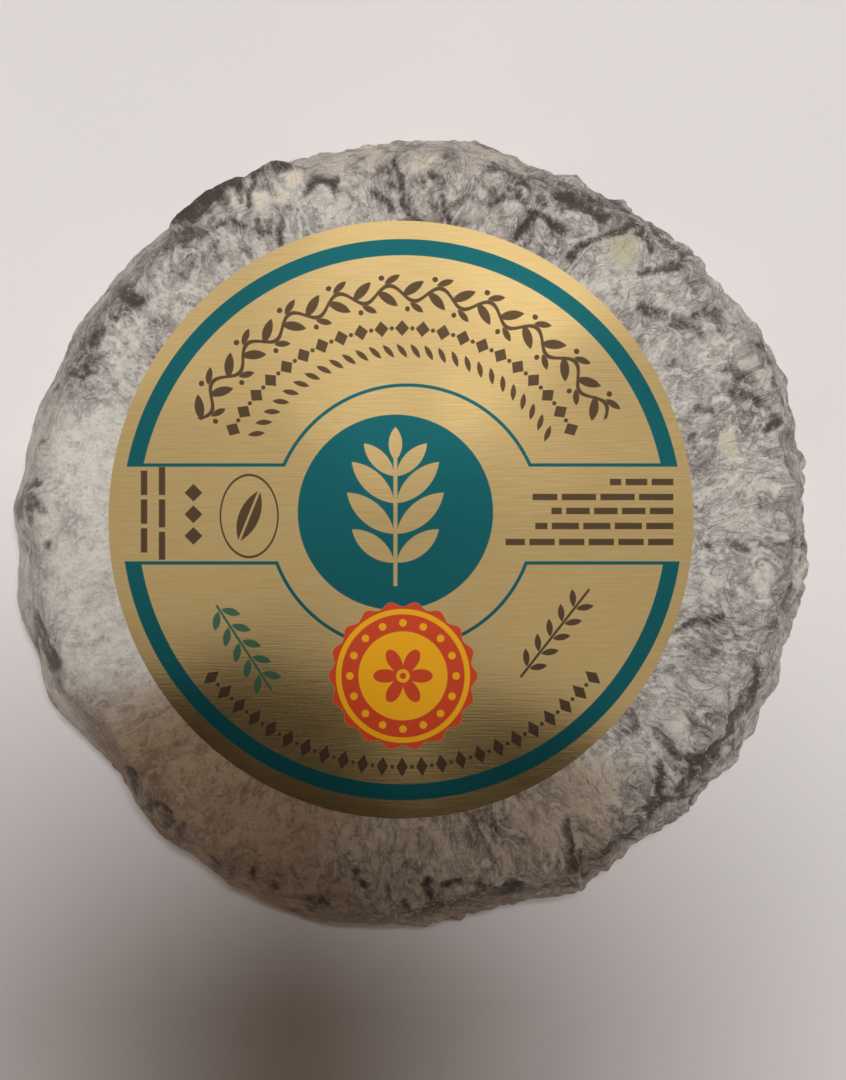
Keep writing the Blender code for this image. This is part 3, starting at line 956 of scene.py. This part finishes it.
def label_paint():
    """Gold foil paper with a fine level grain, and its print."""
    paint = Paint("gold_paper")
    x, y, _ = paint.parts(paint.place)
    x, y = x - RING_SHIFT[0], y - RING_SHIFT[1]
    teal = ring_and_band(x, y).least(disc_with_sprig(x, y)).fill(SOFT)
    brown = vine(x, y).least(lozenge_row(x, y, TOP_LOZENGES)).least(leaf_row(x, y))
    brown = brown.least(lozenge_row(x, y, BOTTOM_LOZENGES)).least(bars_and_studs(x, y))
    brown = brown.least(oval_with_leaf(x, y)).least(slope_sprig(x, y, BROWN_SPRIG)).fill(SOFT)
    green = slope_sprig(x, y, GREEN_SPRIG).fill(SOFT)
    badge, red = (shape.fill(SOFT) for shape in badge_and_flower(x, y))

    grain = paint.noise(paint.scaled(paint.place, GRAIN), 1.0, 2.0, 0.5)
    cloud = paint.noise(paint.place, 0.16, 2.0, 0.5)
    colour = paint.mix(grain.ramp(0.25, 0.75), DEEP_GOLD, PALE_GOLD)
    colour = paint.mix(cloud.ramp(0.3, 0.7) * 0.5, colour, GOLD)
    colour = paint.mix(teal, colour, TEAL)
    colour = paint.mix(green * 0.9, colour, GREEN_INK)
    colour = paint.mix(brown * 0.92, colour, BROWN)
    colour = paint.mix(badge, colour, YELLOW)
    colour = paint.mix(red * badge, colour, RED)
    paint.set("Base Color", colour)

    # The inks are thin enough for the foil to shine through, and the badge is nearly opaque.
    ink = teal.most(brown).most(green) * (badge * -1 + 1)
    paint.set("Metallic", ink * -0.10 - badge * 0.80 + 1.0)
    paint.set("Roughness", grain * 0.03 + ink.most(badge) * 0.04 + 0.10)
    paint.set("Normal", paint.bump(grain, 0.0000015))
    return paint.material


# The floor, the light and the camera


def make_floor():
    """A plain pale table top."""
    mesh = bpy.data.meshes.new("floor")
    mesh.from_pydata([(-4, -4, 0), (4, -4, 0), (4, 4, 0), (-4, 4, 0)], [], [(0, 1, 2, 3)])
    floor = bpy.data.objects.new("floor", mesh)
    bpy.context.scene.collection.objects.link(floor)
    paint = Paint("floor")
    cloud = paint.noise(paint.place, 0.012, 3.0, 0.5)
    tooth = paint.noise(paint.place, 1.4, 2.0, 0.5)
    paint.set("Base Color", paint.mix(cloud.ramp(0.3, 0.7), srgb(226, 220, 218), srgb(231, 225, 223)))
    paint.set("Roughness", 0.85)
    paint.set("Specular IOR Level", 0.2)
    paint.set("Normal", paint.bump(tooth, 0.00003))
    mesh.materials.append(paint.material)


# The lamp is a soft oval overhead. A dark card beside the camera keeps it off the front of the
# table. The other panels are what the foil mirrors, and light nothing else; each hangs at a height
# of its own. Each row has its name, place, turn about the vertical in degrees, size, power, colour,
# shape, and what it reaches.
LIGHTS = (
    ("lamp", (0.10, 0.18, 2.2), 0, (0.424, 0.297), 41.0, (0.975, 1.0, 1.02), "ELLIPSE", "matt"),
    ("whole", (-0.003, 0.0256, 0.4060), -13, (0.180, 0.132), 0.0390, (1.0, 0.98, 0.96), "RECTANGLE", "foil"),
    ("upper", (-0.003, 0.0475, 0.4066), 5, (0.180, 0.045), 0.0055, (1.0, 0.98, 0.96), "RECTANGLE", "foil"),
    ("middle", (0.0055, 0.042, 0.4072), 0, (0.072, 0.064), 0.00120, (1.0, 0.98, 0.96), "ELLIPSE", "foil"),
    ("glow", (0.018, 0.057, 0.4078), -15, (0.060, 0.040), 0.0026, (1.0, 0.98, 0.96), "ELLIPSE", "foil"),
)
CARD_SIDES = (-0.030, 0.045)
CARD_ENDS = (-0.60, 0.014)
CARD_HEIGHT = 0.41

# The room beyond, and how far up its walls give way to what is overhead, from 0 level to 1 above.
WALLS = (0.310, 0.245, 0.195, 1)
OVERHEAD = (0.015, 0.009, 0.004, 1)
CEILING_FADE = (0.35, 0.85)


def make_card():
    """The card that shades the front of the table, itself out of sight."""
    mesh = bpy.data.meshes.new("card")
    (left, right), (front, back) = CARD_SIDES, CARD_ENDS
    outline = ((left, front), (right, front), (right, back), (left, back))
    mesh.from_pydata([(x, y, CARD_HEIGHT) for x, y in outline], [], [(0, 1, 2, 3)])
    card = bpy.data.objects.new("card", mesh)
    bpy.context.scene.collection.objects.link(card)
    paint = Paint("card")
    paint.set("Base Color", srgb(40, 38, 36))
    paint.set("Roughness", 0.9)
    mesh.materials.append(paint.material)
    card.visible_camera = False
    card.visible_glossy = False


def make_camera(place):
    """Straight above, framed as an 846 by 1080 image."""
    data = bpy.data.cameras.new("camera")
    data.lens = LENS
    data.sensor_width = SENSOR
    data.clip_start, data.clip_end = CLIP
    camera = bpy.data.objects.new("camera", data)
    camera.location = place
    bpy.context.scene.collection.objects.link(camera)
    bpy.context.scene.camera = camera


def area_light(name, place, turn, size, power, colour, shape, reaches):
    """A panel of light facing down, which the camera doesn't see."""
    data = bpy.data.lights.new(name, "AREA")
    data.shape = shape
    data.size, data.size_y = size
    data.energy = power
    data.color = colour
    light = bpy.data.objects.new(name, data)
    light.location = place
    light.rotation_euler.z = math.radians(turn)
    light.visible_camera = False
    light.visible_glossy = reaches == "foil"
    light.visible_diffuse = reaches == "matt"
    bpy.context.scene.collection.objects.link(light)


def make_world():
    """A dim room: lighter walls, darker overhead."""
    world = bpy.data.worlds.new("room")
    bpy.context.scene.world = world
    world.use_nodes = True
    nodes, links = world.node_tree.nodes, world.node_tree.links
    place = nodes.new("ShaderNodeTexCoord").outputs["Generated"]
    parts = nodes.new("ShaderNodeSeparateXYZ")
    links.new(place, parts.inputs[0])
    rise = Field(world.node_tree, parts.outputs[2])
    mix = nodes.new("ShaderNodeMix")
    mix.data_type = "RGBA"
    links.new(rise.ramp(*CEILING_FADE).socket, mix.inputs[0])
    mix.inputs[6].default_value = WALLS
    mix.inputs[7].default_value = OVERHEAD
    links.new(mix.outputs[2], nodes["Background"].inputs["Color"])


def main():
    noise.seed_set(NOISE_SEED)
    for obj in list(bpy.data.objects):
        bpy.data.objects.remove(obj, do_unlink=True)
    bpy.context.scene.view_settings.view_transform = "Standard"
    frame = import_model()

    low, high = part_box("label")
    shift_x = (LABEL_AT[0] - IMAGE_SIZE[0] / 2) / PIXELS_PER_METRE
    shift_y = (IMAGE_SIZE[1] / 2 - LABEL_AT[1]) / PIXELS_PER_METRE
    middle = (low + high) / 2
    eye = (middle.x - shift_x, middle.y - shift_y, high.z + CAMERA_RISE)
    make_camera(eye)
    make_world()
    make_floor()
    make_card()
    for row in LIGHTS:
        area_light(*row)

    rind = make_rind(frame["nodes"]["cheese"], eye)
    rind.data.materials.append(rind_paint())
    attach(rind, "root")
    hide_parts("cheese")

    label = make_label(frame["nodes"]["label"])
    label.data.materials.append(label_paint())
    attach(label, "root")
    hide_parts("label")


main()
